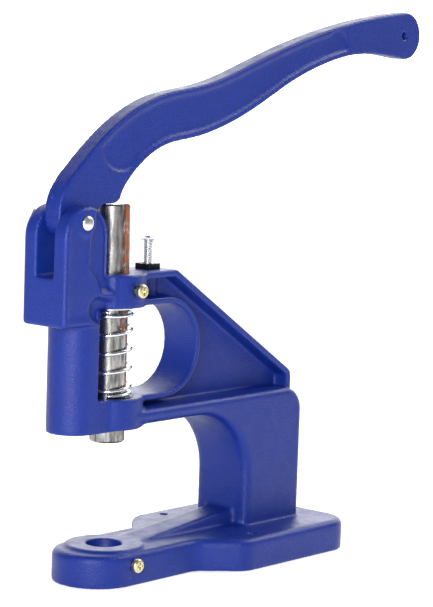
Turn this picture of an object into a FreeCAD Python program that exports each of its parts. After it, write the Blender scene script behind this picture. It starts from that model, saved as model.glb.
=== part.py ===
import FreeCAD, Part
import Sketcher
import math
import os
import re
from FreeCAD import Vector

# A bench arbor press with a cast frame: a bent hand lever pushes a sprung ram down
# onto the die seat in the foot. Millimetres, +Z up. The origin is on the bench face
# of the foot, on the ram's axis. -X is the front, where the lever is hinged, and +X
# the rear, where the column stands. The frame is symmetrical about Y = 0.

SIZES = (
    ("foot_height", 18.5, "top of the foot's plate"),
    ("foot_half_width", 46.0, "half the width across the wings"),
    ("foot_rear", 173.0, "rear edge of the foot"),
    ("foot_corner", 18.0, "plan radius of the rear corners"),
    ("wing_corner", 15.0, "plan radius of the wings' outer corners"),
    ("wing_root", 14.0, "plan radius where the neck widens into the wings"),
    ("foot_edge", 4.0, "rounding of the foot's top edge"),
    ("neck_half_width", 25.0, "half the width of the neck under the ram"),
    ("neck_centre", 6.0, "how far ahead of the ram the neck's round end is centred"),
    ("wing_start", 51.0, "where the neck starts to widen"),
    ("wing_full", 73.0, "where the wings reach their full width"),
    ("pad_radius", 22.5, "raised round pad about the die seat"),
    ("pad_rise", 1.8, "height of that pad above the plate"),
    ("rib_half_width", 10.0, "half the width of the rib from pad to column"),
    ("rib_rise", 9.5, "height of the rib at the column"),
    ("die_bore", 20.5, "diameter of the die seat"),
    ("die_depth", 15.0, "depth of the die seat below the pad"),
    ("knockout_bore", 10.0, "hole for driving a die out from below"),
    ("bench_hole_x", 89.5, "bench screw holes, behind the ram"),
    ("bench_hole_y", 35.0, "bench screw holes, to each side"),
    ("bench_hole", 4.5, "diameter of the bench screw holes"),
    ("column_front", 100.5, "front face of the column"),
    ("column_rear", 151.5, "rear face of the column"),
    ("column_half_width", 20.0, "half the width of column and lower arm"),
    ("column_edge", 5.0, "rounding of the column's front edges and the throat"),
    ("arm_bottom", 89.0, "underside of the lower arm"),
    ("arm_top", 98.0, "top of the lower arm's wide part"),
    ("arm_edge", 3.5, "rounding of that top and of the column's rear edges"),
    ("throat_radius", 41.0, "curve between column and lower arm"),
    ("shoulder_radius", 14.0, "round behind the column's top"),
    ("bracket_half_width", 13.0, "half the width of the bracket's rims"),
    ("bracket_top", 174.8, "top face of the bracket"),
    ("bracket_corner", 41.5, "where the top face ends and the slope starts"),
    ("bracket_rear", 148.0, "rear of the bracket"),
    ("bracket_rear_top", 107.0, "height at which the slope ends"),
    ("rim_wall", 4.1, "thickness of the rims"),
    ("web_half_width", 3.0, "half the thickness of the web between the rims"),
    ("window_centre_x", 34.5, "centre of the spring window's round end"),
    ("window_centre_z", 130.5, "height of the spring window's middle"),
    ("window_radius", 25.5, "radius of the spring window's round end"),
    ("window_rim", 3.4, "wall about the spring window"),
    ("window_front", 23.0, "front wall of the spring window, ahead of the ram"),
    ("boss_radius", 20.0, "the two guide bosses about the ram"),
    ("boss_bottom", 87.5, "underside of the lower guide boss"),
    ("spring_seat", 103.8, "spot face that carries the spring"),
    ("seat_margin", 0.7, "that spot face beyond the spring's washer"),
    ("post_half_width", 14.5, "half the width of the front post"),
    ("post_centre", 28.5, "centre of the front post's round face"),
    ("head_front", 53.4, "front face of the hinge head"),
    ("head_half_width", 16.5, "half the width of the hinge head"),
    ("head_bottom", 148.0, "underside of the hinge head"),
    ("ear_centre_x", 36.0, "centre of the ears' round tops"),
    ("ear_centre_z", 196.6, "height of that centre"),
    ("ear_radius", 17.4, "radius of the ears' round tops"),
    ("ear_edge", 2.4, "rounding of the head's outside edges"),
    ("slot_half_width", 6.5, "half the width of the slot between the ears"),
    ("pivot_x", 37.0, "pivot bolt, ahead of the ram"),
    ("pivot_z", 204.8, "height of the pivot bolt"),
    ("pivot_diameter", 6.0, "shank of the pivot bolt"),
    ("running_gap", 0.05, "radial gap of a shaft in its bore"),
    ("lever_half_width", 6.0, "half the thickness of the lever"),
    ("hub_ahead", 1.5, "the hub's round end is centred this far ahead of the pivot"),
    ("hub_above", 1.5, "and this far above it"),
    ("lever_reach", 298.3, "from the pivot to the middle of the handle's end"),
    ("lever_rise", 105.5, "height of that middle above the pivot"),
    ("lever_end_radius", 14.8, "round end of the handle"),
    ("lever_hub_radius", 10.0, "round end inside the slot"),
    ("lever_nose_radius", 6.5, "round nose that bears on the ram"),
    ("lever_nose_x", 5.5, "centre of the nose, ahead of the ram's axis"),
    ("nose_gap", 0.3, "gap between nose and ram at rest"),
    ("nose_flat", 8.0, "flat under the nose, towards the hub"),
    ("panel_inset", 3.4, "rim round the hollow in the lever's faces"),
    ("panel_depth", 1.2, "depth of that hollow"),
    ("hang_hole", 5.0, "hole near the handle's end"),
    ("hang_hole_back", 2.0, "that hole, short of the end's middle"),
    ("ram_diameter", 20.0, "the ram"),
    ("ram_bottom", 79.0, "lower end of the ram"),
    ("ram_top", 213.2, "upper end of the ram"),
    ("ram_chamfer", 0.9, "chamfer at both ends of the ram"),
    ("key_width", 7.0, "width of the ram's keyway"),
    ("key_depth", 3.0, "depth of the keyway"),
    ("key_bottom", 140.0, "lower end of the keyway"),
    ("socket_bore", 8.0, "socket for the upper die's shank"),
    ("socket_depth", 16.0, "depth of that socket"),
    ("clip_bottom", 154.5, "underside of the retaining ring"),
    ("clip_thickness", 1.2, "thickness of the retaining ring"),
    ("clip_lap", 0.4, "the retaining ring beyond the middle of the spring's wire"),
    ("groove_depth", 0.9, "depth of the ring's groove in the ram"),
    ("washer_thickness", 1.0, "washer under the spring"),
    ("washer_margin", 0.6, "that washer beyond the spring's outside"),
    ("spring_wire", 2.2, "wire of the return spring"),
    ("spring_clearance", 1.1, "gap between the ram and the spring"),
    ("spring_coils", 4.0, "open coils"),
    ("spring_closed_gap", 0.3, "rise of each end coil over the wire's thickness"),
    ("guide_screw_z", 166.0, "height of the screw that runs in the keyway"),
    ("screw_diameter", 5.0, "shanks of guide screw and die clamp screw"),
    ("screw_head_radius", 4.0, "their heads"),
    ("screw_head_height", 3.1, "height of their heads"),
    ("guide_screw_proud", 2.5, "bare shank outside the boss"),
    ("clamp_screw_z", 11.5, "height of the die clamp screw"),
    ("clamp_screw_gap", 0.4, "gap under its head, and from its tip to the seat"),
    ("stop_x", 30.0, "stop screw, behind the ram"),
    ("stop_diameter", 6.0, "shank of the stop screw"),
    ("stop_head_z", 191.6, "underside of the stop screw's head"),
    ("stop_head_radius", 5.8, "its flat head"),
    ("stop_length", 19.0, "length of its shank"),
    ("stop_travel", 8.0, "how far the stop screw can be lowered"),
    ("stop_boss_radius", 5.4, "boss that takes the stop screw"),
    ("lock_nut_width", 10.0, "square lock nut, across flats"),
    ("lock_nut_height", 3.2, "height of the lock nut"),
    ("pivot_head_radius", 4.2, "head of the pivot bolt"),
    ("pivot_head_height", 1.6, "height of that head"),
    ("pivot_washer_radius", 6.0, "washer under the pivot nut"),
    ("pivot_washer_thickness", 1.4, "its thickness"),
    ("pivot_nut_width", 10.0, "pivot nut, across flats"),
    ("pivot_nut_height", 5.0, "height of the pivot nut"),
    ("bolt_overhang", 1.5, "bolt thread beyond the nut"),
    ("recess_span", 4.4, "length of each arm of a cross recess"),
    ("recess_width", 0.95, "width of each arm"),
    ("recess_depth", 1.6, "depth of a cross recess"),
)
NAMES = {name for name, number, note in SIZES}

# What runs round the ram takes its radius from the ram: the spring's wire, the ring
# that it pushes up, the washer that it stands on and the spot face under that washer.
SPRING_RADIUS = "ram_diameter / 2 + spring_clearance + spring_wire / 2"
CLIP_RADIUS = f"{SPRING_RADIUS} + clip_lap"
WASHER_RADIUS = f"{SPRING_RADIUS} + spring_wire / 2 + washer_margin"
SEAT_RADIUS = f"{WASHER_RADIUS} + seat_margin"

# The lever's two edges. Each pair is a share of the way from the pivot to the middle
# of the handle's end, and how far the edge stands off that straight line.
UPPER_EDGE = (
    (-0.012, 17.2), (0.042, 27.2), (0.101, 34.4), (0.159, 39.6), (0.215, 42.1),
    (0.270, 42.1), (0.323, 39.6), (0.376, 36.2), (0.432, 33.8), (0.520, 32.8),
    (0.642, 31.9), (0.766, 28.7), (0.893, 22.7),
)
LOWER_EDGE = (
    (0.147, 5.0), (0.184, 10.0), (0.214, 12.5), (0.242, 13.5), (0.270, 13.3),
    (0.310, 11.0), (0.350, 8.4), (0.407, 6.5), (0.465, 6.1), (0.558, 8.1),
    (0.622, 10.1), (0.685, 10.7), (0.749, 9.7), (0.812, 7.0), (0.874, 1.6),
    (0.935, -6.4),
)
PANEL_UPPER = UPPER_EDGE[2:-1]
PANEL_LOWER = LOWER_EDGE[1:-2]

doc = FreeCAD.newDocument("arbor_press")
sheet = doc.addObject("Spreadsheet::Sheet", "sizes")


def fill_sheet():
    """Write every driving size to the sheet, with its name as alias and a note beside it."""
    for row, (name, number, note) in enumerate(SIZES, start=1):
        sheet.set(f"A{row}", name)
        sheet.set(f"B{row}", str(number))
        sheet.setAlias(f"B{row}", name)
        sheet.set(f"C{row}", note)
    doc.recompute()


def bound(expression):
    """Return the expression with each size's name led by the sheet's name."""
    def lead(word):
        return "sizes." + word.group() if word.group() in NAMES else word.group()
    return re.sub(r"[a-z]\w*", lead, expression)


def value(expression):
    """Return what an expression on the sizes comes to, as a number."""
    return float(sheet.evalExpression(bound(expression)))


class Piece:
    """A sub-part as a PartDesign body whose sketches and features are bound to the sheet."""

    def __init__(self, name):
        self.name = name
        self.body = doc.addObject("PartDesign::Body", name)
        self.body.Label = name

    def plane(self, role):
        """Return the body's own origin plane with this role."""
        return next(item for item in self.body.Origin.OriginFeatures if item.Role == role)

    def sketch(self, name, role, offset=None):
        """Add a sketch on an origin plane, moved along the plane's normal by an expression."""
        sketch = self.body.newObject("Sketcher::SketchObject", f"{self.name}_{name}")
        sketch.AttachmentSupport = [(self.plane(role), "")]
        sketch.MapMode = "FlatFace"
        if offset is not None:
            sketch.setExpression("AttachmentOffset.Base.z", bound(offset))
        return sketch

    def finish(self, feature):
        """Recompute, and stop at once if the new feature failed."""
        doc.recompute()
        if "Invalid" in feature.State or "Error" in feature.State:
            raise RuntimeError(f"{feature.Name} failed")
        self.body.Tip = feature
        return feature

    def pad(self, name, sketch, length, symmetric=False, reverse=False):
        """Add material over a sketch, to a length given by an expression."""
        feature = self.body.newObject("PartDesign::Pad", f"{self.name}_{name}_pad")
        feature.Profile = sketch
        feature.SideType = "Symmetric" if symmetric else "One side"
        feature.Reversed = reverse
        feature.setExpression("Length", bound(length))
        return self.finish(feature)

    def pocket(self, name, sketch, length, symmetric=False, reverse=False):
        """Cut a sketch out, to a depth given by an expression, and check that it cut."""
        before = self.body.Tip.Shape.Volume
        feature = self.body.newObject("PartDesign::Pocket", f"{self.name}_{name}_pocket")
        feature.Profile = sketch
        feature.SideType = "Symmetric" if symmetric else "One side"
        feature.Reversed = reverse
        feature.setExpression("Length", bound(length))
        self.finish(feature)
        if feature.Shape.Volume >= before:
            raise RuntimeError(f"{feature.Name} cut nothing")
        return feature

    def dress(self, kind, name, size, picks):
        """Fillet or chamfer the tip's edges that a test picks out, to a bound size."""
        tip = self.body.Tip
        edges = [f"Edge{i}" for i, edge in enumerate(tip.Shape.Edges, start=1) if picks(edge)]
        if not edges:
            raise RuntimeError(f"{self.name}_{name} found no edge")
        feature = self.body.newObject(f"PartDesign::{kind}", f"{self.name}_{name}")
        feature.Base = (tip, edges)
        feature.setExpression("Radius" if kind == "Fillet" else "Size", bound(size))
        return self.finish(feature)

    def place(self, x="0", y="0", z="0", axis=None, angle=0):
        """Put the body where it belongs, turned about an axis first."""
        if axis is not None:
            self.body.Placement.Rotation = FreeCAD.Rotation(axis, angle)
        for letter, expression in zip("xyz", (x, y, z)):
            self.body.setExpression(f"Placement.Base.{letter}", bound(expression))


def pin(sketch, index, position, x, y):
    """Hold one point of a sketch at two expressions."""
    for kind, expression, axis in (("DistanceX", x, -2), ("DistanceY", y, -1)):
        number = value(expression)
        if abs(number) < 1e-9:
            sketch.addConstraint(Sketcher.Constraint("PointOnObject", index, position, axis))
            continue
        made = sketch.addConstraint(Sketcher.Constraint(kind, -1, 1, index, position, number))
        name = f"{kind[-1].lower()}{index}_{position}"
        sketch.renameConstraint(made, name)
        sketch.setExpression(f"Constraints.{name}", bound(expression))


def polygon(sketch, corners):
    """Draw a closed outline of straight sides through corners given as expressions."""
    points = [Vector(value(x), value(y), 0) for x, y in corners]
    first = sketch.GeometryCount
    for start, end in zip(points, points[1:] + points[:1]):
        sketch.addGeometry(Part.LineSegment(start, end))
    for i, (x, y) in enumerate(corners):
        following = first + (i + 1) % len(corners)
        sketch.addConstraint(Sketcher.Constraint("Coincident", first + i, 2, following, 1))
        pin(sketch, first + i, 1, x, y)


def rectangle(sketch, left, right, bottom, top):
    """Draw a rectangle between expressions."""
    polygon(sketch, ((left, bottom), (right, bottom), (right, top), (left, top)))


def circle(sketch, x, y, radius):
    """Draw a circle with its centre and radius given as expressions."""
    centre = Vector(value(x), value(y), 0)
    index = sketch.addGeometry(Part.Circle(centre, Vector(0, 0, 1), value(radius)))
    pin(sketch, index, 3, x, y)
    made = sketch.addConstraint(Sketcher.Constraint("Radius", index, value(radius)))
    sketch.renameConstraint(made, f"radius{index}")
    sketch.setExpression(f"Constraints.radius{index}", bound(radius))


def upright(*places):
    """Pick upright straight edges that stand at one of these (x, y) places."""
    spots = [(value(x), value(y)) for x, y in places]

    def picks(edge):
        box = edge.BoundBox
        if box.XLength + box.YLength > 1e-4:
            return False
        middle = box.Center
        return any(math.hypot(middle.x - x, middle.y - y) < 1e-3 for x, y in spots)
    return picks


def crosswise(*places):
    """Pick straight edges along Y that lie at one of these (x, z) places."""
    spots = [(value(x), value(z)) for x, z in places]

    def picks(edge):
        box = edge.BoundBox
        if box.XLength + box.ZLength > 1e-4:
            return False
        middle = box.Center
        return any(math.hypot(middle.x - x, middle.z - z) < 1e-3 for x, z in spots)
    return picks


def level(height):
    """Pick edges that lie flat at a height."""
    z = value(height)
    return lambda edge: edge.BoundBox.ZLength < 1e-4 and abs(edge.BoundBox.ZMin - z) < 1e-3


def abeam(offset):
    """Pick edges that lie in one of the two planes at this distance each side of Y = 0."""
    y = value(offset)

    def picks(edge):
        box = edge.BoundBox
        return box.YLength < 1e-4 and abs(abs(box.Center.y) - y) < 1e-3
    return picks


def mirrored(half):
    """Return an outline from its +Y half, listed from front to rear."""
    return tuple(half) + tuple((x, f"-({y})") for x, y in reversed(half))


# ---------------------------------------------------------------- the frame casting

def cast_foot(frame):
    """The foot: a round-nosed neck that widens into two wings."""
    plate = frame.sketch("plate", "XY_Plane")
    polygon(plate, mirrored((
        ("-neck_centre", "neck_half_width"), ("wing_start", "neck_half_width"),
        ("wing_full", "foot_half_width"), ("foot_rear", "foot_half_width"))))
    frame.pad("plate", plate, "foot_height")
    nose = frame.sketch("nose", "XY_Plane")
    circle(nose, "-neck_centre", "0", "neck_half_width")
    frame.pad("nose", nose, "foot_height")
    rear = (("foot_rear", "foot_half_width"), ("foot_rear", "-foot_half_width"))
    frame.dress("Fillet", "rear_corners", "foot_corner", upright(*rear))
    wings = (("wing_full", "foot_half_width"), ("wing_full", "-foot_half_width"))
    frame.dress("Fillet", "wing_corners", "wing_corner", upright(*wings))
    roots = (("wing_start", "neck_half_width"), ("wing_start", "-neck_half_width"))
    frame.dress("Fillet", "wing_roots", "wing_root", upright(*roots))
    frame.dress("Fillet", "top_edge", "foot_edge", level("foot_height"))
    pad = frame.sketch("pad", "XY_Plane", "foot_height - foot_edge")
    circle(pad, "0", "0", "pad_radius")
    frame.pad("pad", pad, "pad_rise + foot_edge")
    frame.dress("Fillet", "pad_edge", "pad_rise * 0.6", level("foot_height + pad_rise"))


def cast_rib(frame):
    """The rib that climbs from the die seat's pad to the foot of the column."""
    rib = frame.sketch("rib", "XZ_Plane")
    polygon(rib, (
        ("pad_radius - 4", "foot_height - foot_edge"),
        ("pad_radius - 4", "foot_height + pad_rise - 0.6"),
        ("column_front", "foot_height + rib_rise"),
        ("column_front + column_edge", "foot_height - foot_edge")))
    frame.pad("rib", rib, "2 * rib_half_width", symmetric=True)


def cast_column(frame):
    """The column and the wide lower arm, one bent beam."""
    beam = frame.sketch("beam", "XZ_Plane")
    polygon(beam, (
        ("0", "arm_bottom"), ("column_front", "arm_bottom"),
        ("column_front", "foot_height - foot_edge"),
        ("column_rear", "foot_height - foot_edge"),
        ("column_rear", "arm_top"), ("0", "arm_top")))
    frame.pad("beam", beam, "2 * column_half_width", symmetric=True)
    frame.dress("Fillet", "throat", "throat_radius", crosswise(("column_front", "arm_bottom")))
    frame.dress("Fillet", "shoulder", "shoulder_radius", crosswise(("column_rear", "arm_top")))
    side = value("column_half_width")
    plate_top = value("foot_height")
    arm_bottom = value("arm_bottom")
    rear = value("column_rear")

    def beside(edge):
        box = edge.BoundBox
        return box.YLength < 1e-4 and abs(abs(box.Center.y) - side) < 1e-3

    def front_side(edge):
        box = edge.BoundBox
        above = box.ZMin > plate_top - 1e-3 and box.ZMax > plate_top + 1e-3
        return beside(edge) and above and box.ZMax < arm_bottom + 1e-3 and box.XMax < rear - 1

    def rear_side(edge):
        box = edge.BoundBox
        return beside(edge) and box.ZMax > arm_bottom + 1e-3
    frame.dress("Fillet", "front_edges", "column_edge", front_side)
    frame.dress("Fillet", "rear_edges", "arm_edge", rear_side)


def cast_bracket(frame):
    """The triangular bracket: rims about a thin web, with a wall about the window."""
    outline = (
        ("0", "bracket_top"), ("bracket_corner", "bracket_top"),
        ("bracket_rear", "bracket_rear_top"), ("bracket_rear", "arm_top - 3"),
        ("0", "arm_top - 3"))
    slope = "atan2(bracket_top - bracket_rear_top; bracket_rear - bracket_corner)"
    web = frame.sketch("web", "XZ_Plane")
    polygon(web, outline)
    frame.pad("web", web, "2 * web_half_width", symmetric=True)
    rims = frame.sketch("rims", "XZ_Plane")
    polygon(rims, outline)
    polygon(rims, (
        ("3", "bracket_top - rim_wall"),
        (f"bracket_corner - rim_wall * tan({slope} / 2)", "bracket_top - rim_wall"),
        ("bracket_rear - rim_wall",
         f"bracket_rear_top - rim_wall * tan((90 deg - {slope}) / 2)"),
        ("bracket_rear - rim_wall", "arm_top - 1"), ("3", "arm_top - 1")))
    frame.pad("rims", rims, "2 * bracket_half_width", symmetric=True)
    frame.dress("Fillet", "bracket_corners", "rim_wall",
                crosswise(("bracket_corner", "bracket_top"), ("bracket_rear", "bracket_rear_top")))
    wall = frame.sketch("window_wall", "XZ_Plane")
    circle(wall, "window_centre_x", "window_centre_z", "window_radius + window_rim")
    frame.pad("window_wall", wall, "2 * bracket_half_width", symmetric=True)
    walls = frame.sketch("window_walls", "XZ_Plane")
    rectangle(walls, "0", "window_centre_x", "window_centre_z - window_radius - window_rim",
              "window_centre_z + window_radius + window_rim")
    frame.pad("window_walls", walls, "2 * bracket_half_width", symmetric=True)
    boss = frame.sketch("stop_boss", "XY_Plane", "window_centre_z + window_radius + 1")
    circle(boss, "stop_x", "0", "stop_boss_radius")
    frame.pad("stop_boss", boss, "bracket_top - rim_wall - window_centre_z - window_radius")


def cast_guides(frame):
    """The two guide bosses about the ram and the round-faced post ahead of them."""
    lower = frame.sketch("lower_boss", "XY_Plane", "boss_bottom")
    circle(lower, "0", "0", "boss_radius")
    frame.pad("lower_boss", lower, "window_centre_z - window_radius - boss_bottom")
    upper = frame.sketch("upper_boss", "XY_Plane", "window_centre_z + window_radius")
    circle(upper, "0", "0", "boss_radius")
    frame.pad("upper_boss", upper, "bracket_top - window_centre_z - window_radius")
    post = frame.sketch("post", "XY_Plane", "boss_bottom - 0.5")
    rectangle(post, "-post_centre", "-10", "-post_half_width", "post_half_width")
    frame.pad("post", post, "head_bottom - boss_bottom + 2.5")
    face = frame.sketch("post_face", "XY_Plane", "boss_bottom - 0.5")
    circle(face, "-post_centre", "0", "post_half_width")
    frame.pad("post_face", face, "head_bottom - boss_bottom + 2.5")


def cast_head(frame):
    """The hinge head: a block with two round-topped ears."""
    block = frame.sketch("head", "XZ_Plane")
    rectangle(block, "-head_front", "ear_radius - ear_centre_x", "head_bottom", "ear_centre_z")
    frame.pad("head", block, "2 * head_half_width", symmetric=True)
    neck = frame.sketch("head_back", "XZ_Plane")
    rectangle(neck, "-ear_centre_x", "0", "window_centre_z + window_radius", "bracket_top")
    frame.pad("head_back", neck, "2 * head_half_width", symmetric=True)
    ears = frame.sketch("ears", "XZ_Plane")
    circle(ears, "-ear_centre_x", "ear_centre_z", "ear_radius")
    frame.pad("ears", ears, "2 * head_half_width", symmetric=True)
    beside = abeam("head_half_width")
    brow = value("bracket_top")
    front = -value("head_front")

    def outer(edge):
        box = edge.BoundBox
        return beside(edge) and (box.ZMin > brow - 1e-3 or box.XMin < front + 1e-3)
    frame.dress("Fillet", "head_edges", "ear_edge", outer)


def cut_hollows(frame):
    """The window for the spring and the slot for the lever."""
    window = frame.sketch("window", "XZ_Plane")
    circle(window, "window_centre_x", "window_centre_z", "window_radius")
    frame.pocket("window", window, "6 * head_half_width", symmetric=True)
    front = frame.sketch("window_front", "XZ_Plane")
    rectangle(front, "-window_front", "window_centre_x", "window_centre_z - window_radius",
              "window_centre_z + window_radius")
    frame.pocket("window_front", front, "6 * head_half_width", symmetric=True)
    slot = frame.sketch("slot", "XZ_Plane")
    rectangle(slot, "-head_front - 5", "0", "bracket_top", "pivot_z + 40")
    frame.pocket("slot", slot, "2 * slot_half_width", symmetric=True)


def drill_frame(frame):
    """Every bore and hole that is machined into the casting."""
    ram = frame.sketch("ram_bore", "XY_Plane", "boss_bottom - 5")
    circle(ram, "0", "0", "ram_diameter / 2 + running_gap")
    frame.pocket("ram_bore", ram, "bracket_top - boss_bottom + 10", reverse=True)
    seat = frame.sketch("spring_seat", "XY_Plane", "spring_seat")
    circle(seat, "0", "0", SEAT_RADIUS)
    frame.pocket("spring_seat", seat, "window_radius", reverse=True)
    die = frame.sketch("die_seat", "XY_Plane", "foot_height + pad_rise - die_depth")
    circle(die, "0", "0", "die_bore / 2")
    frame.pocket("die_seat", die, "die_depth + 5", reverse=True)
    out = frame.sketch("knockout", "XY_Plane", "-1")
    circle(out, "0", "0", "knockout_bore / 2")
    frame.pocket("knockout", out, "foot_height", reverse=True)
    bench = frame.sketch("bench_holes", "XY_Plane", "-1")
    circle(bench, "bench_hole_x", "bench_hole_y", "bench_hole / 2")
    circle(bench, "bench_hole_x", "-bench_hole_y", "bench_hole / 2")
    frame.pocket("bench_holes", bench, "foot_height + 5", reverse=True)
    pivot = frame.sketch("pivot_bore", "XZ_Plane")
    circle(pivot, "-pivot_x", "pivot_z", "pivot_diameter / 2 + running_gap")
    frame.pocket("pivot_bore", pivot, "6 * head_half_width", symmetric=True)
    guide = frame.sketch("guide_hole", "XZ_Plane")
    circle(guide, "0", "guide_screw_z", "screw_diameter / 2 + running_gap")
    frame.pocket("guide_hole", guide, "boss_radius + 5", reverse=True)
    clamp = frame.sketch("clamp_hole", "XZ_Plane")
    circle(clamp, "0", "clamp_screw_z", "screw_diameter / 2 + running_gap")
    frame.pocket("clamp_hole", clamp, "neck_half_width + 5", reverse=True)
    stop = frame.sketch("stop_hole", "XY_Plane", "stop_head_z - stop_length - stop_travel - 1")
    circle(stop, "stop_x", "0", "stop_diameter / 2 + running_gap")
    frame.pocket("stop_hole", stop, "stop_length + stop_travel", reverse=True)


def frame_casting():
    """The one-piece cast frame."""
    frame = Piece("frame_casting")
    cast_foot(frame)
    cast_rib(frame)
    cast_column(frame)
    cast_bracket(frame)
    cast_guides(frame)
    cast_head(frame)
    cut_hollows(frame)
    drill_frame(frame)


# ---------------------------------------------------------------- the lever

def on_lever(share, proud):
    """Return the point at a share of the lever's line and a distance off it."""
    reach = value("lever_reach")
    rise = value("lever_rise")
    length = math.hypot(reach, rise)
    x = -value("pivot_x") + share * reach - proud * rise / length
    return Vector(x, value("pivot_z") + share * rise + proud * reach / length, 0)


def heading(degrees):
    """Return the unit vector at an angle from +X in a sketch."""
    return Vector(math.cos(math.radians(degrees)), math.sin(math.radians(degrees)), 0)


def round_end(sketch, centre, radius, start, end):
    """Draw an arc from one angle anticlockwise to another, with its radius bound."""
    middle = Vector(value(centre[0]), value(centre[1]), 0)
    ring = Part.Circle(middle, Vector(0, 0, 1), value(radius))
    index = sketch.addGeometry(
        Part.ArcOfCircle(ring, math.radians(start), math.radians(end)))
    pin(sketch, index, 3, *centre)
    made = sketch.addConstraint(Sketcher.Constraint("Radius", index, value(radius)))
    sketch.renameConstraint(made, f"radius{index}")
    sketch.setExpression(f"Constraints.radius{index}", bound(radius))
    return middle + heading(start) * value(radius), middle + heading(end) * value(radius)


def smooth(sketch, points):
    """Draw a smooth curve through points."""
    curve = Part.BSplineCurve()
    curve.interpolate(points)
    sketch.addGeometry(curve)


def lever_outline(sketch):
    """Draw the whole outline: hub, back, handle end, belly, nose and the notch between."""
    hub = ("-pivot_x - hub_ahead", "pivot_z + hub_above")
    nose = ("-lever_nose_x", "ram_top + nose_gap + lever_nose_radius")
    end = ("lever_reach - pivot_x", "pivot_z + lever_rise")
    hub_top, hub_foot = round_end(sketch, hub, "lever_hub_radius", 168, 330)
    handle_foot, handle_top = round_end(sketch, end, "lever_end_radius", 265, 460)
    nose_foot, nose_side = round_end(sketch, nose, "lever_nose_radius", 270, 350)
    back = [hub_top] + [on_lever(*place) for place in UPPER_EDGE] + [handle_top]
    smooth(sketch, back)
    belly = [nose_side] + [on_lever(*place) for place in LOWER_EDGE] + [handle_foot]
    smooth(sketch, belly)
    corner = nose_foot - Vector(value("nose_flat"), 0, 0)
    sketch.addGeometry(Part.LineSegment(nose_foot, corner))
    sketch.addGeometry(Part.LineSegment(corner, hub_foot))


def lever_panel(sketch):
    """Draw the hollow in the lever's face, a rim's width inside its edges."""
    inset = value("panel_inset")
    upper = [on_lever(share, proud - inset) for share, proud in PANEL_UPPER]
    lower = [on_lever(share, proud + inset) for share, proud in PANEL_LOWER]
    smooth(sketch, upper)
    smooth(sketch, lower)
    root = (upper[0] + lower[0]) * 0.5 + (lower[0] - upper[0]).cross(Vector(0, 0, 0.3))
    tail = (upper[-1] + lower[-1]) * 0.5 + (upper[-1] - lower[-1]).cross(Vector(0, 0, 0.38))
    sketch.addGeometry(Part.Arc(upper[0], root, lower[0]))
    sketch.addGeometry(Part.Arc(upper[-1], tail, lower[-1]))


def lever_arm():
    """The bent hand lever, with a hollow in each face and a hole to hang it by."""
    lever = Piece("lever_arm")
    outline = lever.sketch("outline", "XZ_Plane")
    lever_outline(outline)
    lever.pad("outline", outline, "2 * lever_half_width", symmetric=True)
    for side, sign in (("near", 1), ("far", -1)):
        offset = f"{sign} * (lever_half_width - panel_depth)"
        panel = lever.sketch(f"{side}_panel", "XZ_Plane", offset)
        lever_panel(panel)
        lever.pocket(f"{side}_panel", panel, "2 * panel_depth", reverse=sign > 0)
    bore = lever.sketch("bores", "XZ_Plane")
    circle(bore, "-pivot_x", "pivot_z", "pivot_diameter / 2 + running_gap")
    circle(bore, "lever_reach - pivot_x - hang_hole_back", "pivot_z + lever_rise", "hang_hole / 2")
    lever.pocket("bores", bore, "6 * lever_half_width", symmetric=True)


# ---------------------------------------------------------------- the ram and its spring

def ram():
    """The ground steel ram: keyway, ring groove and the socket for an upper die."""
    piece = Piece("ram")
    round_bar = piece.sketch("bar", "XY_Plane", "ram_bottom")
    circle(round_bar, "0", "0", "ram_diameter / 2")
    piece.pad("bar", round_bar, "ram_top - ram_bottom")
    ends = (level("ram_top"), level("ram_bottom"))
    piece.dress("Chamfer", "ends", "ram_chamfer", lambda edge: any(end(edge) for end in ends))
    key = piece.sketch("keyway", "XZ_Plane", "ram_diameter / 2 - key_depth")
    rectangle(key, "-key_width / 2", "key_width / 2", "key_bottom + key_width / 2", "ram_top + 1")
    piece.pocket("keyway", key, "ram_diameter", reverse=True)
    key_end = piece.sketch("keyway_end", "XZ_Plane", "ram_diameter / 2 - key_depth")
    circle(key_end, "0", "key_bottom + key_width / 2", "key_width / 2")
    piece.pocket("keyway_end", key_end, "ram_diameter", reverse=True)
    socket = piece.sketch("socket", "XY_Plane", "ram_bottom - 1")
    circle(socket, "0", "0", "socket_bore / 2")
    piece.pocket("socket", socket, "socket_depth + 1", reverse=True)
    groove = piece.sketch("groove", "XY_Plane", "clip_bottom")
    circle(groove, "0", "0", "ram_diameter / 2 + 2")
    circle(groove, "0", "0", "ram_diameter / 2 - groove_depth")
    piece.pocket("groove", groove, "clip_thickness", reverse=True)


def ram_clip():
    """The retaining ring in the ram's groove: it carries the top of the spring."""
    clip = Piece("ram_clip")
    ring = clip.sketch("ring", "XY_Plane", "clip_bottom")
    circle(ring, "0", "0", CLIP_RADIUS)
    circle(ring, "0", "0", "ram_diameter / 2 - groove_depth")
    clip.pad("ring", ring, "clip_thickness")
    mouth = clip.sketch("mouth", "XY_Plane", "clip_bottom - 1")
    rectangle(mouth, "0", f"{CLIP_RADIUS} + 1", "-key_width / 2", "key_width / 2")
    clip.pocket("mouth", mouth, "clip_thickness + 2", reverse=True)


def spring_washer():
    """The flat washer between the spring and the lower boss."""
    washer = Piece("spring_washer")
    ring = washer.sketch("ring", "XY_Plane", "spring_seat")
    circle(ring, "0", "0", WASHER_RADIUS)
    circle(ring, "0", "0", "ram_diameter / 2 + 4 * running_gap")
    washer.pad("ring", ring, "washer_thickness")


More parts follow.
